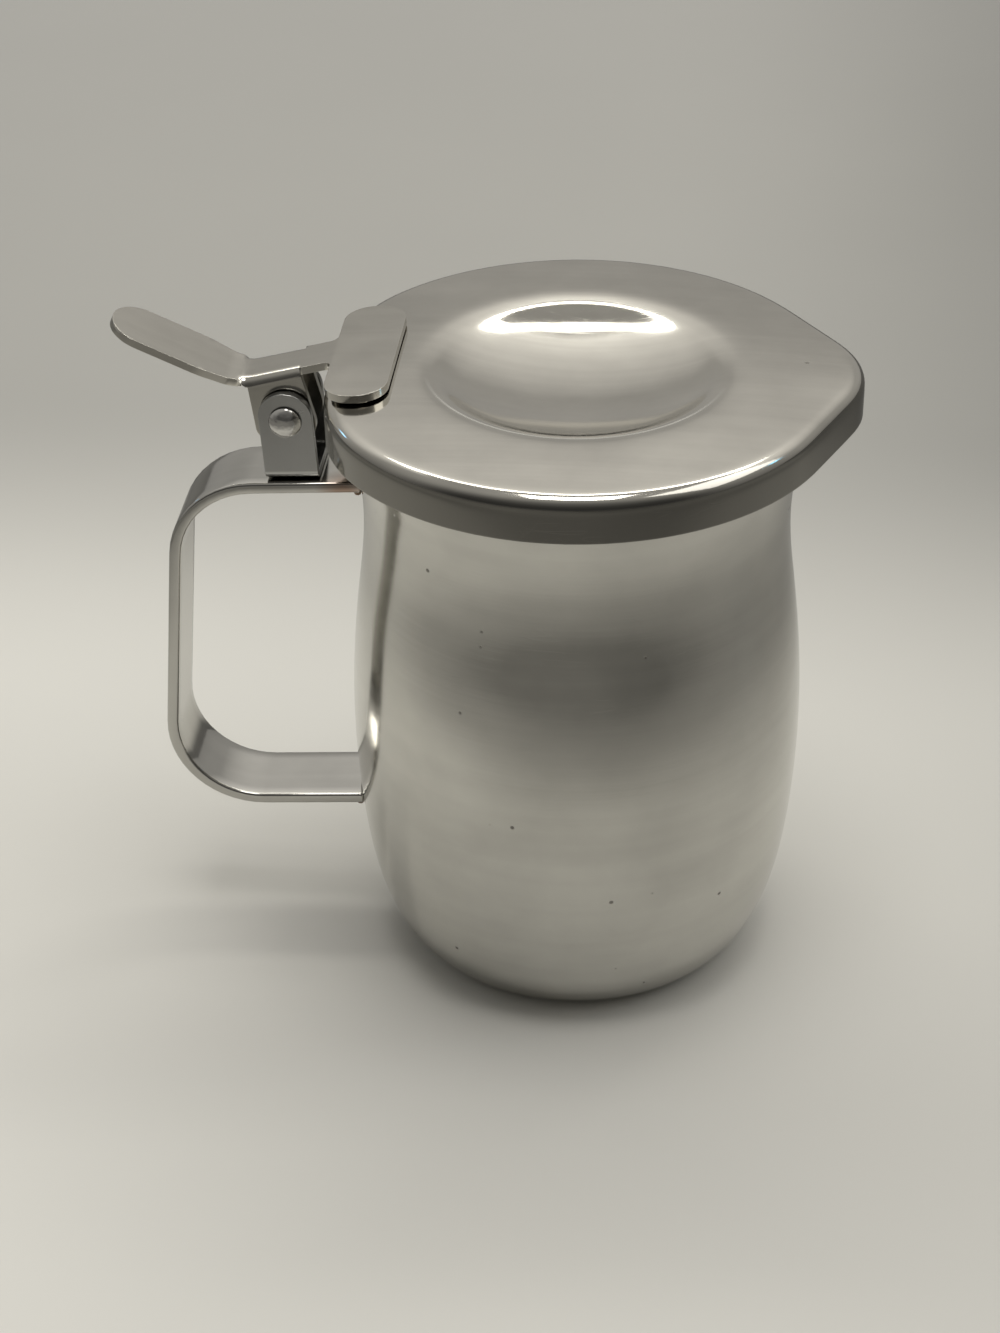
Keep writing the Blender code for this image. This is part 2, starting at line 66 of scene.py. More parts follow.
away = Vector((
    math.sin(CAMERA_TURN) * math.cos(CAMERA_HEIGHT_ANGLE),
    -math.cos(CAMERA_TURN) * math.cos(CAMERA_HEIGHT_ANGLE),
    math.sin(CAMERA_HEIGHT_ANGLE),
))
level = Vector((math.cos(CAMERA_TURN), math.sin(CAMERA_TURN), 0))
upright = away.cross(level)
turned_right = math.cos(CAMERA_TILT) * level + math.sin(CAMERA_TILT) * upright
turned_up = math.cos(CAMERA_TILT) * upright - math.sin(CAMERA_TILT) * level

bpy.ops.object.camera_add(location=CAMERA_AIM + away * CAMERA_DISTANCE)
camera = bpy.context.object
camera.rotation_euler = Matrix((turned_right, turned_up, away)).transposed().to_euler()
camera.data.lens = CAMERA_LENS
camera.data.clip_start = CLIP_START
bpy.context.scene.camera = camera
print("Camera stands", round(camera.location.z / MM), "mm above the table")

# %% [markdown]
# Steel has hardly any colour of its own: what is seen on it is the room. So the room is made
# first, and its nodes are the first ones to be written. Two small classes keep that readable: one
# stands for a node's output, so that masks can be added and multiplied like numbers, and one
# adds the nodes themselves.

# %% Nodes written as sums
class Wire:
    """A node's output that can stand in a sum, on either side of the sign."""

    def __init__(self, finish, socket):
        self.finish = finish
        self.socket = socket

    def sum(self, operation, first, second):
        return self.finish.node("Math", {"operation": operation}, {0: first, 1: second})

    def __add__(self, other):
        return self.sum("ADD", self, other)

    def __radd__(self, other):
        return self.sum("ADD", other, self)

    def __sub__(self, other):
        return self.sum("SUBTRACT", self, other)

    def __rsub__(self, other):
        return self.sum("SUBTRACT", other, self)

    def __mul__(self, other):
        return self.sum("MULTIPLY", self, other)

    def __rmul__(self, other):
        return self.sum("MULTIPLY", other, self)


class Finish:
    """The nodes of one material, or of the world."""

    def __init__(self, name, owner=None):
        self.material = owner or bpy.data.materials.new(name)
        self.material.use_nodes = True
        self.tree = self.material.node_tree

    def node(self, kind, settings=None, sockets=None, output=0):
        """Adds a node, gives it its settings, then its values and links, and returns one output."""
        node = self.tree.nodes.new("ShaderNode" + kind)
        for name, value in (settings or {}).items():
            if name == "stops":
                self.set_stops(node.color_ramp, value)
            else:
                setattr(node, name, value)
        for name, value in (sockets or {}).items():
            self.feed(node.inputs[name], value)
        return Wire(self, node.outputs[output])

    def set_stops(self, ramp, stops):
        while len(ramp.elements) < len(stops):
            ramp.elements.new(1)
        for element, (place, shade) in zip(ramp.elements, stops):
            element.position = place
            element.color = (*shade, 1) if isinstance(shade, tuple) else (shade, shade, shade, 1)

    def feed(self, socket, value):
        if isinstance(value, Wire):
            self.tree.links.new(value.socket, socket)
        elif isinstance(value, tuple) and len(value) == 3 and socket.type == "RGBA":
            socket.default_value = (*value, 1)
        else:
            socket.default_value = value

    def shade(self, **sockets):
        """Sets the shader's own sockets by name, with spaces written as low lines."""
        shader = self.tree.nodes["Principled BSDF"]
        for name, value in sockets.items():
            self.feed(shader.inputs[name.replace("_", " ")], value)
        return self.material


def spread(finish, value, low, high, first=0.0, last=1.0):
    """Maps a value from one range to another, held at its ends."""
    return finish.node("MapRange", sockets={0: value, 1: low, 2: high, 3: first, 4: last})


def soft_step(finish, value, low, high):
    """Goes from 0 to 1 between two values, slowly at both ends."""
    return finish.node("MapRange", {"interpolation_type": "SMOOTHSTEP"}, {0: value, 1: low, 2: high})


def mix(finish, share, first, second):
    """Blends two colours."""
    return finish.node("Mix", {"data_type": "RGBA"}, {0: share, 6: first, 7: second}, output=2)


def axis_of(finish, place, axis):
    """One of the three coordinates of a place."""
    return finish.node("SeparateXYZ", sockets={0: place}, output=axis)


def length_of(finish, place):
    return finish.node("VectorMath", {"operation": "LENGTH"}, {0: place}, output=1)


# %% [markdown]
# To the eye of the camera the table is pale, with painted light and shade in its colour: lighter
# towards the front and the left, darker towards the back and the right. Away from the jug a painted
# shade darkens its colour into dusk, and only the steel sees that: the lid's skirt and the jug's belly
# look out that way and turn dark, which is what makes polished metal read as metal. A Light Path
# node tells the two apart. Far off, the table fades into the backdrop's colour, so that no horizon shows.

# %% Table
TABLE_SIZE = 6.0
BACKDROP = (0.43, 0.42, 0.395)
PAPER = (0.71, 0.70, 0.66)
DUSK_START, DUSK_END = 80 * MM, 260 * MM
DUSK_TONES = [
    (0.0, 1.0), (0.111, 0.93), (0.206, 0.80), (0.356, 0.57), (0.472, 0.50), (0.583, 0.42), (0.622, 0.34),
    (0.678, 0.29), (0.733, 0.29), (0.833, 0.31), (1.0, 0.36),
]
HAZE_START, HAZE_END = 0.30, 1.10

table = Finish("table_top")
place = table.node("TexCoord", output="Object")
across = axis_of(table, place, "X")
along = axis_of(table, place, "Y")
cloud = table.node("TexNoise", sockets={"Vector": place, "Scale": 9.0, "Detail": 3.0})
grain = table.node("TexNoise", sockets={"Vector": place, "Scale": 900.0, "Detail": 2.0})
# Painted light and shade: the table's colour is lighter towards the front and the left, and darker towards
# the back and the right.
near_share = soft_step(table, along, 0.17, 0.05)
right_share = soft_step(table, across, -0.01, 0.16)
left_share = soft_step(table, across, -0.01, -0.12)
painted_light_level = ((0.56 + near_share * 0.34) * (1 - right_share * (0.48 - near_share * 0.22))
             + left_share * near_share * 0.10 + (cloud - 0.5) * 0.05)
paper_with_painted_light = table.node("ValToRGB", {"stops": [(0.0, (0.0, 0.0, 0.0)), (1.0, PAPER)]}, {"Fac": painted_light_level})

wide = table.node("Mapping", sockets={
    "Vector": place, "Location": (0.013, 0.0, 0.0), "Scale": (0.85, 1.05, 1.0)})
# Painted shade, seen only by rays that are not the camera's: away from the jug the table's colour darkens
# along these tones.
dusk_share = spread(table, length_of(table, wide), DUSK_START, DUSK_END)
dusk = table.node("ValToRGB", {"stops": DUSK_TONES}, {"Fac": dusk_share})
to_camera = table.node("LightPath", output="Is Camera Ray")
seen_share = mix(table, to_camera, dusk, (1.0, 1.0, 1.0))
table_tone = table.node("Mix", {"data_type": "RGBA", "blend_type": "MULTIPLY"},
                        {0: 1.0, 6: paper_with_painted_light, 7: seen_share}, output=2)
table.shade(
    Base_Color=table_tone, Roughness=0.55,
    Normal=table.node("Bump", sockets={"Strength": 0.05, "Distance": 0.1 * MM, "Height": grain}))

far_off = spread(table, length_of(table, place), HAZE_START, HAZE_END)
haze = table.node("Emission", sockets={"Color": BACKDROP, "Strength": 1.0})
plain = Wire(table, table.tree.nodes["Principled BSDF"].outputs[0])
hazy = table.node("MixShader", sockets={0: far_off * to_camera, 1: plain, 2: haze})
table.feed(table.tree.nodes["Material Output"].inputs["Surface"], hazy)

bpy.ops.mesh.primitive_plane_add(size=TABLE_SIZE)
floor = bpy.context.object
floor.name = "table"
floor.data.materials.append(table.material)
print("Table laid,", TABLE_SIZE, "m wide")

# %% [markdown]
# The lid and its dish look up at the far side of the room, so that side carries the picture: it
# grows lighter from the horizon up to just under the lamp, where it breaks off into grey. The
# side behind the camera is dark, because the lid's skirt and the jug mirror it.

# %% Room
WARMTH = (1.0, 0.975, 0.92)

room_world = bpy.data.worlds.new("room")
bpy.context.scene.world = room_world
room = Finish("room", room_world)
way = room.node("TexCoord", output="Generated")
up = axis_of(room, way, "Z")
back = axis_of(room, way, "Y")


def wall_tones(*stops):
    """A wall's light at each height, from the sine of the angle above the horizon."""
    tones = [(height, tuple(level * share for share in WARMTH)) for height, level in stops]
    return room.node("ValToRGB", {"stops": tones}, {"Fac": up})


far_wall = wall_tones((0.0, 0.36), (0.18, 0.41), (0.40, 0.42), (0.50, 0.57), (0.650, 0.78), (0.750, 0.97),
                      (0.809, 1.25), (0.832, 1.45), (0.845, 0.40), (1.0, 0.38))
side_wall = wall_tones((0.0, 0.30), (0.5, 0.38), (1.0, 0.38))
near_wall = wall_tones((0.0, 0.12), (0.08, 0.07), (0.40, 0.09), (0.70, 0.18), (0.95, 0.34), (1.0, 0.38))
walls = mix(room, soft_step(room, back, 0.0, 0.42), side_wall, far_wall)
walls = mix(room, soft_step(room, back, -0.20, -0.75), walls, near_wall)
seen = room.node("LightPath", output="Is Camera Ray")
walls = mix(room, seen, walls, BACKDROP)
room.feed(room.tree.nodes["Background"].inputs["Color"], walls)
bpy.context.scene.view_settings.view_transform = "Standard"
print("Room nodes:", len(room.tree.nodes))

# %% [markdown]
# A long lamp high up at the far side gives the bright shape in the dish. A soft one overhead and
# one at the right light the table and the jug, and two small bluish ones stand for the windows
# that glint in the lid's rounded edge.

# %% Lamps
LAMP_DISTANCE = 1.3
WINDOW_DISTANCE = 1.2
LID_LEVEL = (0, 0, 97 * MM)
BELLY_LEVEL = (0, 0, 50 * MM)


def add_lamp(name, aim, turn, height, distance, size, power, tint):
    """A rectangular soft lamp, turned and raised in degrees as seen from what it lights."""
    turn, height = math.radians(turn), math.radians(height)
    way = Vector((math.sin(turn) * math.cos(height), math.cos(turn) * math.cos(height), math.sin(height)))
    bpy.ops.object.light_add(type="AREA", location=Vector(aim) + way * distance)
    lamp = bpy.context.object
    lamp.name = name
    lamp.rotation_euler = way.to_track_quat("Z", "Y").to_euler()
    lamp.data.shape = "RECTANGLE"
    lamp.data.size, lamp.data.size_y = size
    lamp.data.energy = power
    lamp.data.color = tint
    print(name, "at", [round(side, 2) for side in lamp.location])


add_lamp("far_lamp", LID_LEVEL, -4.3, 63.2, LAMP_DISTANCE, (1.45, 0.175), 5.0, (1.0, 0.975, 0.90))
add_lamp("ceiling_lamp", LID_LEVEL, 180, 84, LAMP_DISTANCE, (0.5, 0.5), 5.3, (1.0, 0.98, 0.94))
add_lamp("side_lamp", BELLY_LEVEL, 96, 50, LAMP_DISTANCE, (0.8, 0.8), 2.9, (1.0, 0.985, 0.95))
add_lamp("cool_lamp_left", LID_LEVEL, -66, 16, WINDOW_DISTANCE, (0.12, 0.08), 0.11, (0.25, 0.60, 1.0))
add_lamp("cool_lamp_right", LID_LEVEL, 82, 27, WINDOW_DISTANCE, (0.10, 0.08), 0.10, (0.20, 0.65, 1.0))

# %% [markdown]
# The pieces are drawn as a metalworker would: a jug and a lid are turned, so a line is traced
# from point to point and spun round the middle. A strap or a stamping is a line that is drawn
# out sideways. One helper starts such a line as a single point. Sizes are in millimetres.

# %% Trace a line
def only(piece):
    """Deselects everything and picks this piece."""
    bpy.ops.object.select_all(action="DESELECT")
    piece.select_set(True)
    bpy.context.view_layer.objects.active = piece


def trace(name, points):
    """Starts a piece as one point and extrudes it through the others, in millimetres."""
    points = [Vector(point) * MM for point in points]
    bpy.ops.object.select_all(action="DESELECT")
    bpy.ops.mesh.primitive_plane_add(size=MM, location=points[0])
    piece = bpy.context.object
    piece.name = name
    bpy.ops.object.transform_apply(location=True, rotation=False, scale=False)
    bpy.ops.object.mode_set(mode="EDIT")
    bpy.ops.mesh.select_all(action="SELECT")
    bpy.ops.mesh.merge(type="CENTER")
    for before, after in zip(points, points[1:]):
        bpy.ops.mesh.extrude_vertices_move(TRANSFORM_OT_translate={"value": after - before})
    return piece


def spin_round(piece, steps):
    """Turns the traced line about the upright axis and closes the seam."""
    bpy.ops.mesh.select_all(action="SELECT")
    bpy.ops.mesh.spin(steps=steps, angle=math.tau, center=(0, 0, 0), axis=(0, 0, 1))
    tidy_mesh()
    bpy.ops.object.mode_set(mode="OBJECT")
    return piece


def tidy_mesh():
    bpy.ops.mesh.select_all(action="SELECT")
    bpy.ops.mesh.remove_doubles(threshold=0.001 * MM)
    bpy.ops.mesh.normals_make_consistent(inside=False)


def apply_step(piece, kind, **settings):
    """Adds a modifier, gives it its settings and applies it."""
    only(piece)
    step = piece.modifiers.new(kind.title(), kind)
    for name, value in settings.items():
        setattr(step, name, value)
    bpy.ops.object.modifier_apply(modifier=step.name)


def break_edges(piece, width):
    """Rounds a sheet's sharp edges over, by a width in millimetres."""
    apply_step(piece, "BEVEL", width=width * MM, segments=3, limit_method="ANGLE",
               angle_limit=math.radians(60))


def on_all(piece, tool, **settings):
    """Uses one edit mode tool on the whole piece."""
    only(piece)
    bpy.ops.object.mode_set(mode="EDIT")
    bpy.ops.mesh.select_all(action="SELECT")
    tool(**settings)
    bpy.ops.object.mode_set(mode="OBJECT")


def smooth(piece, angle):
    only(piece)
    bpy.ops.object.shade_smooth_by_angle(angle=math.radians(angle))


def rounded(corners, step=math.radians(7.5)):
    """A line through corners of (x, y, radius), each one given an arc of its radius."""
    path = []
    for index, (x, y, radius) in enumerate(corners):
        corner = Vector((x, y))
        if radius <= 0:
            path.append(corner)
            continue
        back = (Vector(corners[index - 1][:2]) - corner).normalized()
        ahead = (Vector(corners[(index + 1) % len(corners)][:2]) - corner).normalized()
        half = back.angle(ahead) / 2
        centre = corner + (back + ahead).normalized() * (radius / math.sin(half))
        start = corner + back * (radius / math.tan(half)) - centre
        sweep = math.copysign(math.pi - 2 * half, back.y * ahead.x - back.x * ahead.y)
        count = max(3, math.ceil(abs(sweep) / step))
        path += [centre + Matrix.Rotation(sweep * part / count, 2) @ start for part in range(count + 1)]
    return path


# %% [markdown]
# The spout is not a separate piece. The round rim is drawn out to a point on one side, and the
# lid's edge follows it. Both outlines are a circle with two straight flanks that meet in a small
# rounded tip, so one function gives them both.

# %% Spout outline
SPOUT_TURN = math.radians(5.8)
RIM_HEIGHT = 97.6


def pointed_circle(angle, radius, tip, corner):
    """How far out a circle's edge lies when it is drawn out to a rounded tip at the spout."""
    angle = abs(math.remainder(angle - SPOUT_TURN, math.tau))
    centre = tip - corner
    flank = math.acos((radius - corner) / centre)
    if angle >= flank:
        return radius
    if angle >= math.atan2(corner * math.sin(flank), centre + corner * math.cos(flank)):
        return radius / math.cos(flank - angle)
    return centre * math.cos(angle) + math.sqrt(corner ** 2 - (centre * math.sin(angle)) ** 2)


def ease(share):
    share = min(1.0, max(0.0, share))
    return share * share * (3 - 2 * share)


# %% [markdown]
# The jug is one drawn shell of sheet 0.8 mm thick. Its side view is a slack S: a belly low down,
# a neck, and a rim that flares a little. The line is traced from the rim down to the middle of
# the base, spun, pulled out to the lip and made finer by subdivision, so that what it
# mirrors bends smoothly. Only then does the sheet get its thickness.

# %% Jug
JUG_LINE = [
    (34.52, 97.6), (34.42, 94.3), (34.10, 91.0), (33.29, 87.6), (32.49, 83.9), (32.04, 80.0), (31.90, 75.2),
    (32.28, 69.3), (33.43, 61.3), (34.45, 51.5), (34.90, 40.5), (34.52, 29.4), (33.61, 19.6), (32.25, 12.2),
    (30.63, 7.4), (28.90, 3.9), (26.95, 1.6), (25.0, 0.5), (22.7, 0.0), (15.0, 0.0), (7.0, 0.0), (0.0, 0.0),
]
JUG_SHEET = 0.8
JUG_STEPS = 64
LIP_DEPTH = 11.0
LIP_TIP = 40.2
LIP_CORNER = 12.0

jug = spin_round(trace("jug_shell", [(radius, 0, height) for radius, height in JUG_LINE]), JUG_STEPS)
rim_radius = JUG_LINE[0][0]
for point in jug.data.vertices:
    out = math.hypot(point.co.x, point.co.y) / MM
    pull = ease((point.co.z / MM - RIM_HEIGHT + LIP_DEPTH) / LIP_DEPTH)
    if pull > 0 and out > 1:
        lip = pointed_circle(math.atan2(point.co.y, point.co.x), rim_radius, LIP_TIP, LIP_CORNER)
        point.co.xy *= 1 + pull * (lip - rim_radius) / out
apply_step(jug, "SUBSURF", levels=2, render_levels=2)
apply_step(jug, "SOLIDIFY", thickness=JUG_SHEET * MM, offset=-1, use_even_offset=True)
for point in jug.data.vertices:
    point.co.z = min(point.co.z, RIM_HEIGHT * MM)
smooth(jug, 40)
print("Jug faces:", len(jug.data.polygons))

# %% [markdown]
# The lid is pressed from one sheet: a round dish in the middle, a crown round it that slopes
# down a little, a tight rounded edge and an upright skirt. It is turned first. Then every ring
# outside the dish is stretched to the lid's outline, which is pointed at the spout and
# has a flat at the back, where the hinge is.

# %% Lid outline
LID_RADIUS = 38.4
LID_TIP = 41.9
LID_TIP_CORNER = 16.0
LID_BACK = 36.1
LID_BACK_CORNER = 28.0


def lid_outline(angle, inset):
    """How far out the lid's edge lies at an angle, or a line that runs evenly inside it."""
    front = pointed_circle(angle, LID_RADIUS - inset, LID_TIP - inset, LID_TIP_CORNER - inset)
    from_back = math.pi - abs(angle)
    along = LID_BACK - LID_BACK_CORNER
    across = math.sqrt((LID_RADIUS - LID_BACK_CORNER) ** 2 - along ** 2)
    if from_back > math.atan2(across, along):
        return front
    if from_back < math.atan2(across, LID_BACK - inset):
        return (LID_BACK - inset) / math.cos(from_back)
    reach = along * math.cos(from_back) + across * math.sin(from_back)
    corner = LID_BACK_CORNER - inset
    return reach + math.sqrt(reach ** 2 - along ** 2 - across ** 2 + corner ** 2)


# %% Lid
DISH_RADIUS = 23.7
EDGE_RADIUS = 2.3
LID_TOP = 98.8
LID_SHEET = 0.9
SOLID_EDGE_RADIUS = 1.2
LID_STEPS = 96
LID_LINE = [
    (0.0, 94.46), (3.5, 94.57), (7.0, 94.91), (10.5, 95.47), (13.6, 96.17), (16.2, 96.90), (17.5, 97.34),
    (18.6, 97.80), (19.5, 98.24), (20.3, 98.66), (20.9, 98.93), (21.5, 99.11), (22.1, 99.266), (22.7, 99.40),
    (23.3, 99.47), (24.0, 99.50), (25.4, 99.49), (28.0, 99.38), (31.5, 99.16), (34.6, 98.93), (35.5, 98.86),
    (36.1, 98.80), (36.7, 98.72), (37.25, 98.49), (37.73, 98.13), (38.09, 97.65), (38.32, 97.1), (38.4, 96.5),
    (38.4, 95.0), (38.4, 93.4), (38.4, 91.9),
]

lid = spin_round(trace("lid_cap", [(radius, 0, height) for radius, height in LID_LINE]), LID_STEPS)
flat_radius = LID_RADIUS - EDGE_RADIUS
for point in lid.data.vertices:
    out = math.hypot(point.co.x, point.co.y) / MM
    angle = math.atan2(point.co.y, point.co.x)
    if out > flat_radius:
        point.co.xy *= lid_outline(angle, max(0.0, LID_RADIUS - out)) / out
    elif out > DISH_RADIUS:
        share = (out - DISH_RADIUS) / (flat_radius - DISH_RADIUS)
        point.co.xy *= (DISH_RADIUS + share * (lid_outline(angle, EDGE_RADIUS) - DISH_RADIUS)) / out
apply_step(lid, "SUBSURF", levels=2, render_levels=2)
apply_step(lid, "SOLIDIFY", thickness=LID_SHEET * MM, offset=-1, use_even_offset=True)
smooth(lid, 40)
print("Lid faces:", len(lid.data.polygons))

# %% [markdown]
# The handle is a flat strip, bent twice. Its outer line is traced in side view, drawn out
# sideways to the strip's width, and thickened inwards. Both ends are trimmed to the
# jug's round wall, and the cut edges are rounded over, which gives them their bright line.

# %% Strap handle
STRAP_WIDTH = 12.0
STRAP_SHEET = 1.8
STRAP_CORNER = 14.0
STRAP_EDGE = 0.42
STRAP_STRIPS = 6
STRAP_OFF_WALL = 0.02
BRACKET_REACH = 41.9
GRIP_OUT = -60.4
UPPER_END, LOWER_END = 31.0, 33.0
UPPER_ARM = 81.0
LOWER_ARM = 22.2
UPPER_LEAN = math.radians(3.2)
UPPER_SLOPE = math.tan(UPPER_LEAN)
LOWER_SLOPE = math.tan(math.radians(3.6))
GRIP_SLOPE = 1 / math.tan(math.radians(5.1))


def wall_radius(height):
    """Outside radius of the jug at a height, from its line."""
    for (upper_out, upper), (lower_out, lower) in zip(JUG_LINE, JUG_LINE[1:]):
        if lower <= height <= upper and upper > lower:
            return lower_out + (upper_out - lower_out) * (height - lower) / (upper - lower)
    return JUG_LINE[0][0]


def crossing(height_a, slope_a, x_b, height_b, slope_b):
    """Corner where an arm's line, given at the bracket, meets the line of the grip."""
    x = (height_b - height_a - slope_a * BRACKET_REACH - slope_b * x_b) / (slope_a - slope_b)
    return x, height_a + slope_a * (x + BRACKET_REACH)


top_corner = crossing(UPPER_ARM, UPPER_SLOPE, GRIP_OUT, UPPER_ARM, GRIP_SLOPE)
low_corner = crossing(LOWER_ARM, LOWER_SLOPE, GRIP_OUT, UPPER_ARM, GRIP_SLOPE)
upper_end = (-UPPER_END, UPPER_ARM + UPPER_SLOPE * (BRACKET_REACH - UPPER_END))
lower_end = (-LOWER_END, LOWER_ARM + LOWER_SLOPE * (BRACKET_REACH - LOWER_END))
strap_line = rounded([
    (*upper_end, 0), (*top_corner, STRAP_CORNER), (*low_corner, STRAP_CORNER), (*lower_end, 0)])
strap = trace("strap_handle", [(x, -STRAP_WIDTH / 2, z) for x, z in strap_line])
bpy.ops.mesh.select_all(action="SELECT")
for strip in range(STRAP_STRIPS):
    bpy.ops.mesh.extrude_region_move(
        TRANSFORM_OT_translate={"value": (0, STRAP_WIDTH / STRAP_STRIPS * MM, 0)})
tidy_mesh()
bpy.ops.object.mode_set(mode="OBJECT")
ends = {round(end[0] * MM, 7) for end in (upper_end, lower_end)}
for point in strap.data.vertices:
    if round(point.co.x, 7) in ends:
        wall = (wall_radius(point.co.z / MM) + STRAP_OFF_WALL) * MM
        point.co.x = -math.sqrt(wall ** 2 - point.co.y ** 2)
print("Strap outer line points:", len(strap_line))

apply_step(strap, "SOLIDIFY", thickness=STRAP_SHEET * MM, offset=-1, use_even_offset=True)
break_edges(strap, STRAP_EDGE)
smooth(strap, 50)
print("Strap box, mm:", [round(side / MM, 1) for side in strap.dimensions])

# %% [markdown]
# Bracket and lever are stampings: a flat blank with its holes, folded on a brake. They are made
# that way here. The blank's outline is filled and thickened, its edges are broken, cuts are laid
# across it where it will bend, and then its points are wound round the folds. The fill's long
# thin triangles can be joined to whole faces first, so that the bevel doesn't crumple them.

# %% Flat blanks
HOLE_STEPS = 32
FOLD_CUTS = 6
NEUTRAL = 0.5


def blank(name, outline, holes, sheet, edge, join=False):
    """A flat stamping in the XY plane with its upper face at zero."""
    piece = trace(name, [(x, y, 0) for x, y in [*outline, outline[0]]])
    for x, y, radius in holes:
        bpy.ops.mesh.primitive_circle_add(
            vertices=HOLE_STEPS, radius=radius * MM, location=(x * MM, y * MM, 0))
    bpy.ops.mesh.select_all(action="SELECT")
    bpy.ops.mesh.remove_doubles(threshold=0.001 * MM)
    bpy.ops.mesh.fill(use_beauty=True)
    bpy.ops.mesh.select_all(action="SELECT")
    bpy.ops.mesh.normals_make_consistent(inside=False)
    bpy.ops.object.mode_set(mode="OBJECT")
    if piece.data.polygons[0].normal.z < 0:
        on_all(piece, bpy.ops.mesh.flip_normals)
    apply_step(piece, "SOLIDIFY", thickness=sheet * MM, offset=-1)
    if join:
        on_all(piece, bpy.ops.mesh.dissolve_limited, angle_limit=math.radians(1))
    break_edges(piece, edge)
    print(name, "faces:", len(piece.data.polygons))
    return piece


def cut_across(piece, axis, places):
    """Lays cuts through a blank, square to an axis, where it will bend."""
    only(piece)
    bpy.ops.object.mode_set(mode="EDIT")
    for place in places:
        bpy.ops.mesh.select_all(action="SELECT")
        across = [0, 0, 0]
        across[axis] = 1
        at = [0, 0, 0]
        at[axis] = place * MM
        bpy.ops.mesh.bisect(plane_co=at, plane_no=across, threshold=0.0005 * MM)
    bpy.ops.object.mode_set(mode="OBJECT")


def quarter_turn(fold_radius):
    """How much sheet a square fold takes up."""
    return (fold_radius - NEUTRAL) * math.pi / 2


def fold_cuts(flat_half, fold_radius):
    """Where the cuts for the two folds lie, each side of the middle."""
    turns = [flat_half + quarter_turn(fold_radius) * part / FOLD_CUTS for part in range(FOLD_CUTS + 1)]
    return [side * turn for side in (-1, 1) for turn in turns]


def fold_down(reach, drop, flat_half, fold_radius):
    """Where a point lands that lies this far out on a blank whose sides are folded down square."""
    past = abs(reach) - flat_half
    if past <= 0:
        return reach, drop
    quarter = quarter_turn(fold_radius)
    angle = min(1, past / quarter) * math.pi / 2
    beyond = max(0, past - quarter)
    out = flat_half + (fold_radius + drop) * math.sin(angle)
    down = -fold_radius + (fold_radius + drop) * math.cos(angle) - beyond
    return math.copysign(out, reach), down


# %% [markdown]
# The bracket is a channel that sits on the upper arm: a flat web with two upright ears. Its blank
# is a long strip with round ends. Its ears are folded down like the lever's, and it is then turned
# over onto the arm, so that they stand up.

# %% Hinge bracket
EAR_HALF = 4.0
EAR_CORNER = 3.9
EAR_ABOVE_PIN = 4.5
BRACKET_SHEET = 1.2
BRACKET_HALF = 5.55
BRACKET_FOLD = 1.6
BRACKET_EDGE = 0.3
WELD_GAP = 0.3
PIN_RISE = 10.1
PIN_HOLE = 1.8

flat_half = BRACKET_HALF - BRACKET_FOLD
ear_foot = WELD_GAP + BRACKET_FOLD
pin_out = flat_half + quarter_turn(BRACKET_FOLD) + PIN_RISE - ear_foot
ear_end = flat_half + quarter_turn(BRACKET_FOLD) + PIN_RISE + EAR_ABOVE_PIN - ear_foot
outline = rounded([
    (-EAR_HALF, -ear_end, EAR_CORNER), (EAR_HALF, -ear_end, EAR_CORNER),
    (EAR_HALF, ear_end, EAR_CORNER), (-EAR_HALF, ear_end, EAR_CORNER)])
holes = [(0, pin_out, PIN_HOLE), (0, -pin_out, PIN_HOLE)]
bracket = blank("channel_bracket", outline, holes, BRACKET_SHEET, BRACKET_EDGE, join=True)
cut_across(bracket, 1, fold_cuts(flat_half, BRACKET_FOLD))

lean = Matrix.Rotation(-UPPER_LEAN, 3, "Y")
for point in bracket.data.vertices:
    x, reach, drop = point.co / MM
    y, down = fold_down(reach, drop, flat_half, BRACKET_FOLD)
    point.co = (Vector((-BRACKET_REACH, 0, UPPER_ARM)) + lean @ Vector((x, y, WELD_GAP - down))) * MM
on_all(bracket, bpy.ops.mesh.normals_make_consistent, inside=False)
smooth(bracket, 40)
apply_step(bracket, "WEIGHTED_NORMAL", keep_sharp=True)
print("Bracket top, mm:", round(max(point.co.z for point in bracket.data.vertices) / MM, 2))

# %% [markdown]
# The lever is one stamping too: a thumb tab, a stem with two ears, and a cross bar that is welded
# on the lid. Seen from the side the sheet bends twice, down from the tab and level again at the bar.

# %% Lever's side view
LEVER_SHEET = 1.2
TAB_LENGTH = 20.3
TAB_BEND = 6.0
TAB_SLOPE = math.radians(24.5)
STEM_SLOPE = math.radians(14.4)
STEM_TAIL = 1.4
BAR_WIDTH = 9.3
BAR_BEND = 3.0
BAR_INSET = 0.5
LEVER_EAR_HALF = 4.05
CROWN = 0.8
PIN = Vector((
    -BRACKET_REACH - math.sin(UPPER_LEAN) * PIN_RISE, 0,
    UPPER_ARM + math.cos(UPPER_LEAN) * PIN_RISE))

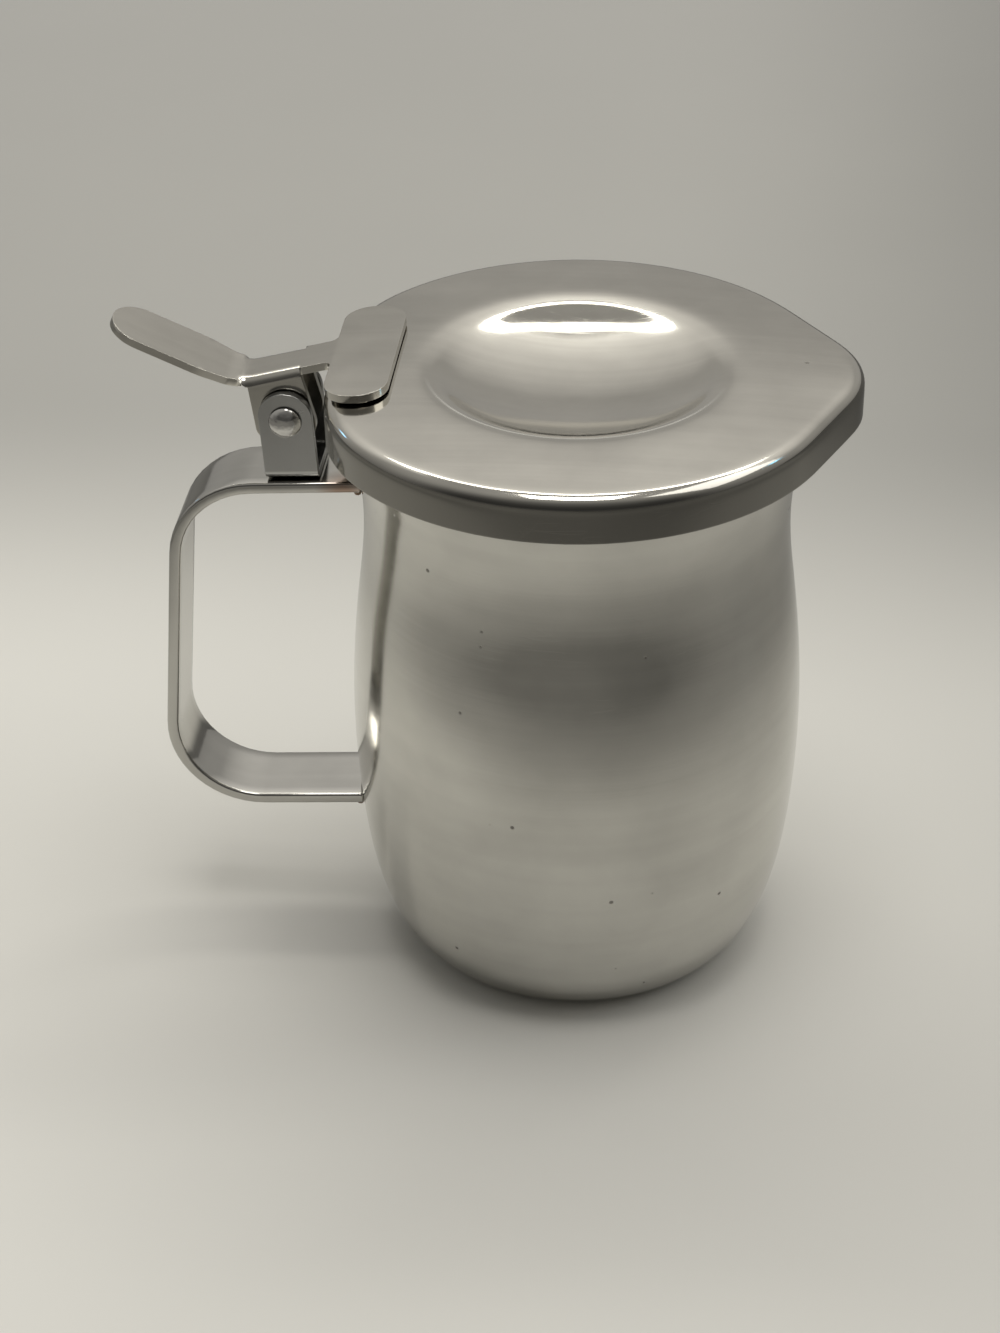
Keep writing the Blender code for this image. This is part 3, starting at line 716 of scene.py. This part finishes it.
crown_rise = CROWN / (LID_BACK - SOLID_EDGE_RADIUS - DISH_RADIUS)
bar_top = (LEVER_SHEET + WELD_GAP) * math.hypot(1, crown_rise)
seat = Vector((-(LID_BACK - BAR_INSET), LID_TOP + bar_top - crown_rise * (SOLID_EDGE_RADIUS - BAR_INSET)))
stem_way = Vector((math.cos(STEM_SLOPE), math.sin(STEM_SLOPE)))
stem_down = Vector((stem_way.y, -stem_way.x))
to_pin = Vector((PIN.x, PIN.z)) - seat
pin_along, pin_below = to_pin.dot(stem_way), to_pin.dot(stem_down)
stem_end = seat + stem_way * (pin_along - LEVER_EAR_HALF - STEM_TAIL)
tab_tip = stem_end + Vector((-math.cos(TAB_SLOPE), math.sin(TAB_SLOPE))) * TAB_LENGTH
bar_front = seat + Vector((1, crown_rise)).normalized() * BAR_WIDTH
side_view = rounded(
    [(*tab_tip, 0), (*stem_end, TAB_BEND), (*seat, BAR_BEND), (*bar_front, 0)], math.radians(5))
marks = [0.0]
for before, after in zip(side_view, side_view[1:]):
    marks.append(marks[-1] + (after - before).length)
lever_length = marks[-1]
pin_mark = next(mark for mark, point in zip(marks, side_view) if (point - stem_end).dot(stem_way) > 0)
stem_start = side_view[marks.index(pin_mark)]
pin_mark += (seat + stem_way * pin_along - stem_start).dot(stem_way)
print("Lever blank, mm:", round(lever_length, 1), "long, pin at", round(pin_mark, 1))

# %% [markdown]
# Laid flat, the lever is a long tongue that widens to the bar at one end, with an ear on each
# side. It is cut across wherever the side view bends, and close by the ears as well, where
# the folds fade out.

# %% Lever blank
EAR_OUT = 3.95
LEVER_FOLD = 1.6
LEVER_EDGE = 0.34
LEVER_EAR_BELOW_PIN = 4.6
LEVER_EAR_CORNER = 3.4
TAB_HALF = 4.9
TAB_TAPER = 7.0
TAB_SHOULDER = 12.0
NECK_HALF = 3.5
BAR_HALF = 14.45
BAR_CORNER = 4.4
BAR_FILLET = 1.2
FOLD_RUN = 1.6
FOLD_STOP = 0.35

ear_flat = EAR_OUT - LEVER_FOLD
lever_pin_out = ear_flat + quarter_turn(LEVER_FOLD) + pin_below - LEVER_FOLD
lever_ear_end = ear_flat + quarter_turn(LEVER_FOLD) + pin_below + LEVER_EAR_BELOW_PIN - LEVER_FOLD
ear_start, ear_stop = pin_mark - LEVER_EAR_HALF, pin_mark + LEVER_EAR_HALF
bar_start = lever_length - BAR_WIDTH
half_outline = [
    (0, -TAB_HALF, TAB_HALF * 0.97), (ear_start - TAB_TAPER, -TAB_HALF, TAB_SHOULDER),
    (ear_start - FOLD_RUN, -EAR_OUT, 0), (ear_start, -EAR_OUT, 0),
    (ear_start, -lever_ear_end, LEVER_EAR_CORNER), (ear_stop, -lever_ear_end, LEVER_EAR_CORNER),
    (ear_stop, -NECK_HALF, 0), (bar_start, -NECK_HALF, BAR_FILLET),
    (bar_start, -BAR_HALF, BAR_CORNER), (lever_length, -BAR_HALF, BAR_CORNER),
]
outline = rounded(half_outline + [(x, -y, radius) for x, y, radius in reversed(half_outline)])
holes = [(pin_mark, side * lever_pin_out, PIN_HOLE) for side in (-1, 1)]
lever = blank("thumb_lever", outline, holes, LEVER_SHEET, LEVER_EDGE)
cut_across(lever, 1, fold_cuts(ear_flat, LEVER_FOLD))
run_in = [ear_start - FOLD_RUN * part / FOLD_CUTS for part in range(1, FOLD_CUTS + 1)]
cut_across(lever, 0, [*marks[1:-1], *run_in, ear_start, ear_stop, ear_stop + FOLD_STOP])
print("Lever blank faces:", len(lever.data.polygons))

# %% [markdown]
# Now every point of the blank is put where the press would put it: along the side view, and
# down round the fold where there is an ear. Towards the tab the fold fades out softly.

# %% Fold and bend the lever
def along_side_view(mark, drop):
    """Where a point of the flat blank lands when the sheet follows the side view."""
    row = 0
    while row < len(side_view) - 2 and mark > marks[row + 1] + 1e-6:
        row += 1
    start, end = side_view[row], side_view[row + 1]
    share = (mark - marks[row]) / (marks[row + 1] - marks[row])
    here = start + (end - start) * share
    return here + (1 - share) * square_at(row) * drop + share * square_at(row + 1) * drop


def square_at(index):
    """Unit way out of the sheet at a point of the side view, evened out between neighbours."""
    before = side_view[max(index - 1, 0)]
    after = side_view[min(index + 1, len(side_view) - 1)]
    run = (after - before).normalized()
    return Vector((-run.y, run.x))


for point in lever.data.vertices:
    mark, reach, drop = point.co / MM
    y = reach
    place = along_side_view(mark, drop)
    if ear_start - FOLD_RUN < mark <= ear_stop + 0.01:
        folded = ease((mark - ear_start + FOLD_RUN) / FOLD_RUN)
        out, down = fold_down(reach, drop, ear_flat, LEVER_FOLD)
        y += (out - reach) * folded
        place += (along_side_view(mark, down) - place) * folded
    point.co = Vector((place.x, y, place.y)) * MM
on_all(lever, tidy_mesh)
smooth(lever, 40)
apply_step(lever, "WEIGHTED_NORMAL", keep_sharp=True)
print("Lever box, mm:", [round(side / MM, 1) for side in lever.dimensions])

# %% [markdown]
# The hinge pin is a rivet. Its shank runs through all four ears, and each end is spread into a low
# dome. It is traced in the upright, spun, and laid across.

# %% Hinge pin
PIN_STEPS = 32
HEAD_LINE = [
    (0.0, 6.98), (0.45, 6.98), (0.9, 6.92), (1.35, 6.79), (1.8, 6.55), (2.15, 6.28), (2.38, 6.02),
    (2.45, 5.88), (2.42, 5.85), (1.5, 5.85),
]
pin_line = HEAD_LINE + [(out, -up) for out, up in reversed(HEAD_LINE)]
rivet = spin_round(trace("rivet", [(out, 0, up) for out, up in pin_line]), PIN_STEPS)
apply_step(rivet, "SUBSURF", levels=2, render_levels=2)
for point in rivet.data.vertices:
    out, across, up = point.co
    point.co = Vector((out, up, -across)) + PIN * MM
smooth(rivet, 50)
print("Rivet faces:", len(rivet.data.polygons))

# %% [markdown]
# Each arm is joined to the jug by a run of weld under it. A weld is a lumpy bead: a short round
# bar whose thickness wavers. The upper one shows brown where the heat has tinted it.

# %% Weld beads
BEAD_RINGS = 26
BEAD_RADIUS = 0.76
BEAD_INSET = 1.5
BEAD_OUT = 0.62
BEAD_BELOW = 0.74
ARM_END = -34.0


def weld_bead(name, underside):
    """A lumpy bead in the corner under an arm, laid round the jug's wall in little ripples."""
    half = STRAP_WIDTH / 2 - BEAD_INSET
    path = []
    for index in range(BEAD_RINGS + 1):
        y = half * (2 * index / BEAD_RINGS - 1)
        wall = wall_radius(underside(ARM_END)) + BEAD_OUT + 0.05 * math.sin(index * 1.3)
        x = -math.sqrt(wall ** 2 - y ** 2)
        path.append((x, y, underside(x) - BEAD_BELOW + 0.04 * math.sin(index * 2.2)))
    bead = trace(name, path)
    bpy.ops.object.mode_set(mode="OBJECT")
    only(bead)
    skin = bead.modifiers.new("Skin", "SKIN")
    for index, ring in enumerate(bead.data.skin_vertices[0].data):
        ripple = 0.90 + 0.10 * math.sin(index * 2.1) + 0.05 * math.sin(index * 4.7 + 1)
        end = min(index, BEAD_RINGS - index)
        ring.radius = [BEAD_RADIUS * ripple * (0.62 if end == 0 else 0.86 if end == 1 else 1) * MM] * 2
    skin.use_smooth_shade = True
    bpy.ops.object.modifier_apply(modifier=skin.name)
    apply_step(bead, "SUBSURF", levels=2, render_levels=2)
    smooth(bead, 60)
    print(name, "mm:", [round(side / MM, 2) for side in bead.dimensions])
    return bead


def upper_underside(x):
    return UPPER_ARM + UPPER_SLOPE * (x + BRACKET_REACH) - STRAP_SHEET


def lower_underside(x):
    return LOWER_ARM + LOWER_SLOPE * (x + BRACKET_REACH)


upper_bead = weld_bead("upper_bead", upper_underside)
lower_bead = weld_bead("lower_bead", lower_underside)

# %% [markdown]
# All the pieces are stainless steel, but each was finished in its own way. One recipe serves
# them all, and it is put together from marks that can each be looked at alone. The first ones
# are what use leaves behind: fine scratches, pits, and edges that are rubbed bright. The Bevel
# node finds those edges: it tells where the rounded normal turns away from the true one.

# %% Marks of use
PIT_CELLS = 210.0
SCRATCH_RUNS = [(0.5, (60.0, 900.0, 300.0)), (-0.9, (700.0, 50.0, 240.0)), (2.0, (90.0, 260.0, 800.0))]


def fine_scratches(finish, place):
    """Thin broken lines, where a stretched noise crosses its middle value."""
    scratches = 0.0
    for turn, size in SCRATCH_RUNS:
        tilted = finish.node("Mapping", sockets={
            "Vector": place, "Rotation": (turn, turn * 0.7, turn * 1.3), "Scale": size})
        ridge = finish.node("TexNoise", sockets={"Vector": tilted, "Scale": 1.0, "Detail": 0.0})
        off_middle = finish.node("Math", {"operation": "ABSOLUTE"}, {0: ridge - 0.5})
        broken = finish.node("TexNoise", sockets={
            "Vector": place, "Scale": 70.0 + 25.0 * turn, "Detail": 1.0})
        line = spread(finish, off_middle, 0.002, 0.012, 1.0, 0.0)
        scratches = line * spread(finish, broken, 0.56, 0.66) + scratches
    return spread(finish, scratches, 0.0, 1.0)


def small_pits(finish, place, share):
    """A dot at the heart of some of the cells that a Voronoi texture lays over the piece."""
    cells = finish.node("TexVoronoi", sockets={"Vector": place, "Scale": PIT_CELLS})
    shade = finish.node("TexVoronoi", sockets={"Vector": place, "Scale": PIT_CELLS}, output="Color")
    chance = finish.node("SeparateColor", sockets={0: shade})
    return spread(finish, cells, 0.05, 0.085, 1.0, 0.0) * spread(finish, chance, 1 - share, 1 - share + 0.02)


def bright_edges(finish, smear, edge_size):
    """Where an edge stands proud enough to be rubbed bright, broken up by the smears."""
    rounded_way = finish.node("Bevel", {"samples": 4}, {"Radius": edge_size * MM})
    true_way = finish.node("NewGeometry", output="Normal")
    match = finish.node("VectorMath", {"operation": "DOT_PRODUCT"}, {0: rounded_way, 1: true_way}, output=1)
    return spread(finish, match, 0.995, 0.90) * spread(finish, smear, 0.3, 0.6, 0.45, 1.0)


# %% [markdown]
# Three marks have a place of their own. Heat from welding tints the steel round the weld. The
# lid's skirt is painted darker, most of all at the front, as a painted dark reflection. And the near
# side of the dish's rim gets a thin ring that is rougher and painted lighter, as a painted highlight.

# %% Marks in one place
def from_axis(finish, place):
    """How far out a point lies from the upright axis."""
    return length_of(finish, finish.node("Mapping", sockets={"Vector": place, "Scale": (1.0, 1.0, 0.0)}))


def heat_tint(finish, place, smear, spot, inner, outer):
    """Full inside one distance from a spot, gone at another, with a ragged edge."""
    centre = tuple(side * MM for side in spot)
    gap = finish.node("VectorMath", {"operation": "DISTANCE"}, {0: place, 1: centre}, output=1)
    return spread(finish, gap + (smear - 0.5) * 1.5 * MM, outer * MM, inner * MM)


def painted_skirt_reflection(finish, place, top, radius):
    """Where the skirt is painted darker as a dark reflection: below a height and outside a radius, and
    strongest towards the front.
    """
    below = spread(finish, axis_of(finish, place, "Z"), top * MM, (top - 1.0) * MM)
    outside = spread(finish, from_axis(finish, place), radius * MM, (radius + 3) * MM)
    front = spread(finish, axis_of(finish, place, "Y"), -20.0 * MM, -36.0 * MM, 0.70, 1.0)
    return below * outside * front


def rough_ring_and_painted_highlight(finish, place, radius, half):
    """A thin ring round the upright axis, on the near side only, made rougher and painted lighter as a
    highlight.
    """
    off_ring = finish.node("Math", {"operation": "ABSOLUTE"}, {0: from_axis(finish, place) - radius * MM})
    near = spread(finish, axis_of(finish, place, "Y"), -5.0 * MM, -15.0 * MM)
    return spread(finish, off_ring, 0.3 * half * MM, half * MM, 1.0, 0.0) * near


# %% [markdown]
# The recipe itself: clouds from handling and fine lines in the direction of the last brush, and
# the marks laid over them. What the brush, the scratches and the pits do to the light goes
# through bump and roughness, so it shows under any lamp. A slow swell in the bump makes the
# reflections waver a little, as they do on thin sheet.

# %% Steel
PIT_SHADE = (0.12, 0.11, 0.10)
RING_PAINTED_HIGHLIGHT = (0.80, 0.79, 0.75)
MARK_DEPTH = 0.006


def scaled(tone, share):
    return tuple(min(1.0, value * share) for value in tone)


def steel(name, tone, roughness, brush, brush_depth, waves, marks, pits=0.0, edge_size=0.35,
          tint=None, skirt_dark_reflection=None, ring=None):
    """A brushed steel. The brush gives how fine its lines lie along each axis, per metre."""
    finish = Finish(name)
    place = finish.node("TexCoord", output="Object")
    cloud = finish.node("TexNoise", sockets={
        "Vector": place, "Scale": 55.0, "Detail": 4.0, "Roughness": 0.55})
    smear = finish.node("TexNoise", sockets={
        "Vector": place, "Scale": 230.0, "Detail": 3.0, "Distortion": 0.6})
    laid = finish.node("Mapping", sockets={"Vector": place, "Scale": brush})
    lines = finish.node("TexNoise", sockets={"Vector": laid, "Scale": 1.0, "Detail": 5.0, "Roughness": 0.65})
    coarse = finish.node("Mapping", sockets={"Vector": place, "Scale": tuple(side * 0.28 for side in brush)})
    bands = finish.node("TexNoise", sockets={"Vector": coarse, "Scale": 1.0, "Detail": 3.0})
    scratches = fine_scratches(finish, place)
    worn = bright_edges(finish, smear, edge_size)

    colour = finish.node("ValToRGB", {"stops": [(0.32, scaled(tone, 0.86)), (0.68, scaled(tone, 1.06))]},
                         {"Fac": cloud * 0.72 + bands * 0.28})
    pit = small_pits(finish, place, pits) if pits else 0.0
    if pits:
        colour = mix(finish, pit * 0.7, colour, PIT_SHADE)
    if tint:
        spot, inner, outer, shade = tint
        colour = mix(finish, heat_tint(finish, place, smear, spot, inner, outer) * 0.85, colour, shade)
    # The lid's skirt is painted darker here, as a painted dark reflection.
    if skirt_dark_reflection:
        top, radius, share = skirt_dark_reflection
        colour = mix(finish, painted_skirt_reflection(finish, place, top, radius) * 0.9, colour, scaled(tone, share))
    colour = mix(finish, worn * 0.6, colour, scaled(tone, 1.18))
    # On the dish's near rim a thin ring is made rougher and painted lighter, as a painted highlight.
    ring_roughness_and_highlight = rough_ring_and_painted_highlight(finish, place, *ring) if ring else 0.0
    if ring:
        colour = mix(finish, ring_roughness_and_highlight * 0.8, colour, RING_PAINTED_HIGHLIGHT)

    satin = roughness * (0.78 + 0.35 * spread(finish, cloud, 0.3, 0.7)
                         + 0.20 * spread(finish, smear, 0.35, 0.7)
                         + 0.14 * spread(finish, bands, 0.35, 0.65))
    satin = satin + scratches * (0.10 * marks) + pit * 0.3 + ring_roughness_and_highlight * 0.30 - worn * (roughness * 0.35)

    wave_size, wave_depth = waves
    swell = finish.node("TexNoise", sockets={"Vector": place, "Scale": wave_size, "Detail": 1.5})
    hollow = scratches * (-0.5 * marks) - pit * 2.0
    relief = finish.node("Bump", sockets={"Strength": 1.0, "Distance": brush_depth * MM, "Height": lines})
    relief = finish.node("Bump", sockets={
        "Strength": 1.0, "Distance": wave_depth * MM, "Height": swell, "Normal": relief})
    relief = finish.node("Bump", sockets={
        "Strength": 1.0, "Distance": MARK_DEPTH * MM, "Height": hollow, "Normal": relief})
    print(name, "nodes:", len(finish.tree.nodes))
    return finish.shade(Base_Color=colour, Metallic=1.0, Roughness=satin, Normal=relief)


# %% [markdown]
# Each piece gets its own finish. The jug was turned and polished, so its lines run round it. The
# strap and the lever were brushed along their length, and the bracket across. The weld is
# rough and brown.

# %% Finishes
jug_steel = steel(
    "jug_steel", (0.58, 0.57, 0.535), 0.115, brush=(35.0, 35.0, 1300.0), brush_depth=0.005,
    waves=(45.0, 0.08), marks=0.6, pits=0.5)
handle_steel = steel(
    "handle_steel", (0.53, 0.52, 0.49), 0.11, brush=(30.0, 1500.0, 30.0), brush_depth=0.004,
    waves=(70.0, 0.04), marks=0.3, edge_size=0.4, tint=((-34.2, -6.0, 79.4), 1.2, 4.6, (0.34, 0.23, 0.17)))
bracket_steel = steel(
    "bracket_steel", (0.47, 0.47, 0.46), 0.20, brush=(1800.0, 400.0, 45.0), brush_depth=0.012,
    waves=(90.0, 0.02), marks=0.3)
pin_steel = steel(
    "pin_steel", (0.62, 0.61, 0.59), 0.12, brush=(200.0, 200.0, 200.0), brush_depth=0.01,
    waves=(700.0, 0.16), marks=0.6)
lid_steel = steel(
    "lid_steel", (0.62, 0.60, 0.55), 0.085, brush=(22.0, 1100.0, 60.0), brush_depth=0.007,
    waves=(40.0, 0.04), marks=0.5, pits=0.05, skirt_dark_reflection=(98.3, 30.0, 0.42), ring=(22.2, 0.4))
lever_steel = steel(
    "lever_steel", (0.60, 0.58, 0.53), 0.13, brush=(26.0, 1400.0, 26.0), brush_depth=0.005,
    waves=(90.0, 0.03), marks=0.3)
weld_metal = steel(
    "weld_metal", (0.25, 0.18, 0.13), 0.34, brush=(500.0, 900.0, 500.0), brush_depth=0.08,
    waves=(900.0, 0.12), marks=0.2, pits=0.3)

# %% [markdown]
# Last, each piece gets its material, takes the place of its plain solid, and rides on the body
# that the solid belongs to, so that lid and lever swing on the hinge while the rest stands still.

# %% Put the pieces on their bodies
pieces = [
    (jug, ["jug"], "jug_body", "jug_steel", jug_steel),
    (strap, ["handle"], "jug_body", "handle_steel", handle_steel),
    (upper_bead, ["upper_weld"], "jug_body", "weld_metal", weld_metal),
    (lower_bead, ["lower_weld"], "jug_body", "weld_metal", weld_metal),
    (bracket, ["hinge_bracket"], "jug_body", "bracket_steel", bracket_steel),
    (rivet, ["hinge_pin"], "jug_body", "pin_steel", pin_steel),
    (lid, ["lid"], "lid_body", "lid_steel", lid_steel),
    (lever, ["lever"], "lid_body", "lever_steel", lever_steel),
]
for piece, nodes, body, slot, material in pieces:
    piece.data.materials.clear()
    piece.data.materials.append(material)
    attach(piece, body)
    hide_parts(*nodes)
    low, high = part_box(nodes[0])
    corners = [Vector(corner) for corner in piece.bound_box]
    least = Vector([min(corner[axis] for corner in corners) for axis in range(3)])
    most = Vector([max(corner[axis] for corner in corners) for axis in range(3)])
    print(piece.name, "differs from its solid by, mm:",
          [round(side / MM, 2) for side in least - low], [round(side / MM, 2) for side in most - high])
